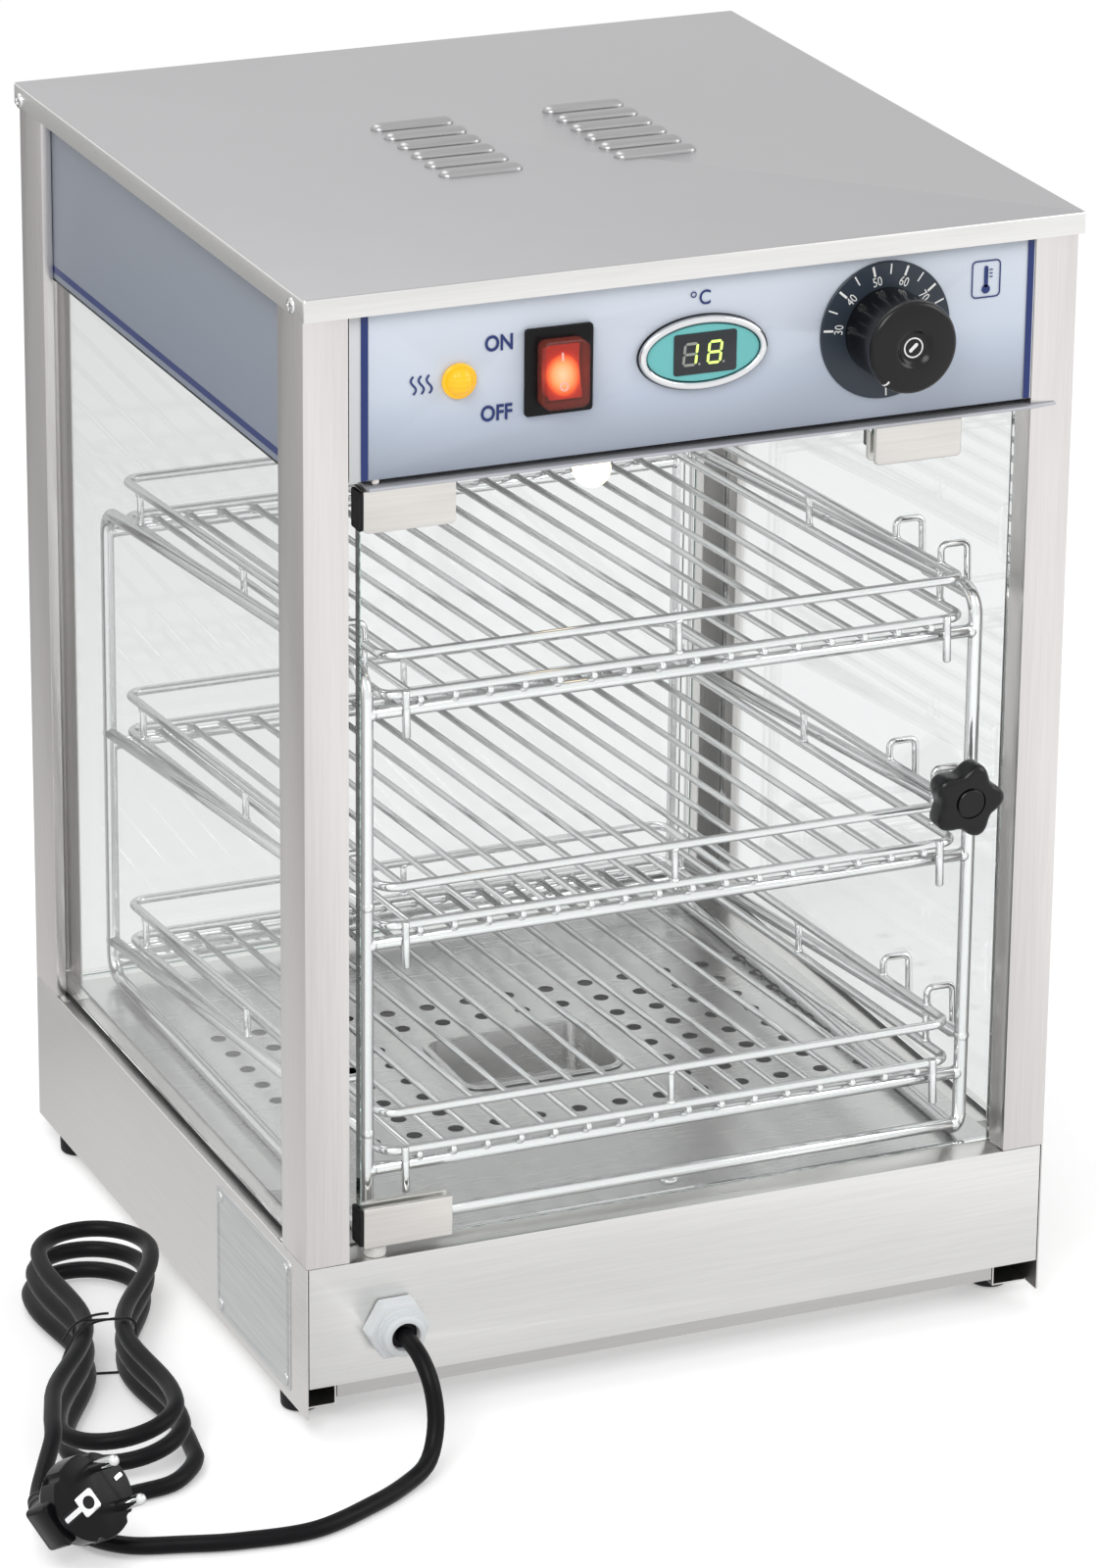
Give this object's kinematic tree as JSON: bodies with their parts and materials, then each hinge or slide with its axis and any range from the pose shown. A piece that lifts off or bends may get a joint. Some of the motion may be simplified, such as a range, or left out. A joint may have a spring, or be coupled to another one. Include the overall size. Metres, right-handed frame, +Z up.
{
  "type": "heated display case",
  "caption": "Counter-top heated display case: brushed steel frame, glass walls, pivoting glass door, inclined lift-out wire shelves, dial thermostat, corded.",
  "frame": {"origin": "centre of the case's footprint at the standing surface, measured without the mains cord, hank and plug", "axes": "+X to the right of a person facing the door, +Y from the door to the back glass, +Z up"},
  "size_m": [0.488, 0.4418, 0.4973],
  "materials": {
    "brushed_steel": "brushed along the sheet",
    "bright_steel": "fine brushed, bright",
    "dark_steel": "dull, heat darkened",
    "chrome_wire": "polished chrome plating",
    "clear_glass": "clear toughened glass",
    "clear_cover": "clear moulded cover",
    "black_rubber": "matte black",
    "black_plastic": "fine satin black",
    "gland_plastic": "pale grey nylon",
    "ceramic": "off-white ceramic",
    "red_rocker": "lit translucent red",
    "amber_lens": "lit translucent amber",
    "teal_panel": "gloss teal window",
    "lamp_glass": "lit warm glass"
  },
  "bodies": {
    "case": {"base_side_left": "brushed_steel", "base_side_right": "brushed_steel", "base_front": "bright_steel", "base_back": "bright_steel", "bottom_tray": "dark_steel", "floor_plate": "brushed_steel", "heating_element": "dark_steel", "heater_bracket": "brushed_steel", "terminal_block": "ceramic", "foot_front_left": "black_rubber", "foot_front_right": "black_rubber", "foot_rear_left": "black_rubber", "foot_rear_right": "black_rubber", "post_front_left": "bright_steel", "post_front_right": "bright_steel", "post_rear_left": "bright_steel", "post_rear_right": "bright_steel", "side_glass_left": "clear_glass", "side_glass_right": "clear_glass", "back_glass": "clear_glass", "glass_seal_left": "black_rubber", "glass_seal_right": "black_rubber", "header_left": "brushed_steel", "header_right": "brushed_steel", "header_back": "brushed_steel", "fascia": "bright_steel", "ceiling_plate": "brushed_steel", "ledge_strip": "bright_steel", "lid": "brushed_steel", "lamp_holder": "ceramic", "bulb": "lamp_glass", "switch_frame": "black_plastic", "splash_cover": "clear_cover", "pilot_lamp": "amber_lens", "display_bezel": "chrome_wire", "display_module": "teal_panel", "dial_plate": "black_plastic", "thermostat_body": "brushed_steel", "hinge_bush": "bright_steel", "magnet_catch": "black_plastic", "wire_stand": "chrome_wire", "cord_gland": "gland_plastic", "power_cord": "black_rubber", "cord_bundle": "black_rubber", "cord_tail": "black_rubber", "cable_tie": "black_plastic", "plug": "black_plastic"},
    "door": {"door_glass": "clear_glass", "hinge_clamp_lower": "bright_steel", "hinge_clamp_upper": "bright_steel", "catch_plate": "bright_steel", "door_knob": "black_plastic", "door_stud": "chrome_wire"},
    "rocker": {"rocker": "red_rocker"},
    "knob": {"thermostat_knob": "black_plastic", "thermostat_shaft": "brushed_steel"},
    "shelf_lower": {"shelf_lower": "chrome_wire"},
    "shelf_middle": {"shelf_middle": "chrome_wire"},
    "shelf_upper": {"shelf_upper": "chrome_wire"},
    "water_pan": {"water_pan": "bright_steel"}
  },
  "joints": [
    {"name": "door_hinge", "type": "hinge", "parent": "case", "child": "door", "pos_m": [-0.1378, -0.15265, 0.08], "axis": [0, 0, -1], "range_deg": [0, 110]},
    {"name": "rocker_tilt", "type": "hinge", "parent": "case", "child": "rocker", "pos_m": [-0.0616, -0.1595, 0.4532], "axis": [1, 0, 0], "range_deg": [0, 18]},
    {"name": "thermostat_turn", "type": "hinge", "parent": "case", "child": "knob", "pos_m": [0.0827, -0.1574, 0.4532], "axis": [0, 1, 0], "range_deg": [0, 240]},
    {"name": "shelf_lower_lift", "type": "slide", "parent": "case", "child": "shelf_lower", "axis": [0, 0, 1], "range_m": [0, 0.015]},
    {"name": "shelf_middle_lift", "type": "slide", "parent": "case", "child": "shelf_middle", "axis": [0, 0, 1], "range_m": [0, 0.015]},
    {"name": "shelf_upper_lift", "type": "slide", "parent": "case", "child": "shelf_upper", "axis": [0, 0, 1], "range_m": [0, 0.015]},
    {"name": "water_pan_lift", "type": "slide", "parent": "case", "child": "water_pan", "axis": [0, 0, 1], "range_m": [0, 0.015]}
  ]
}
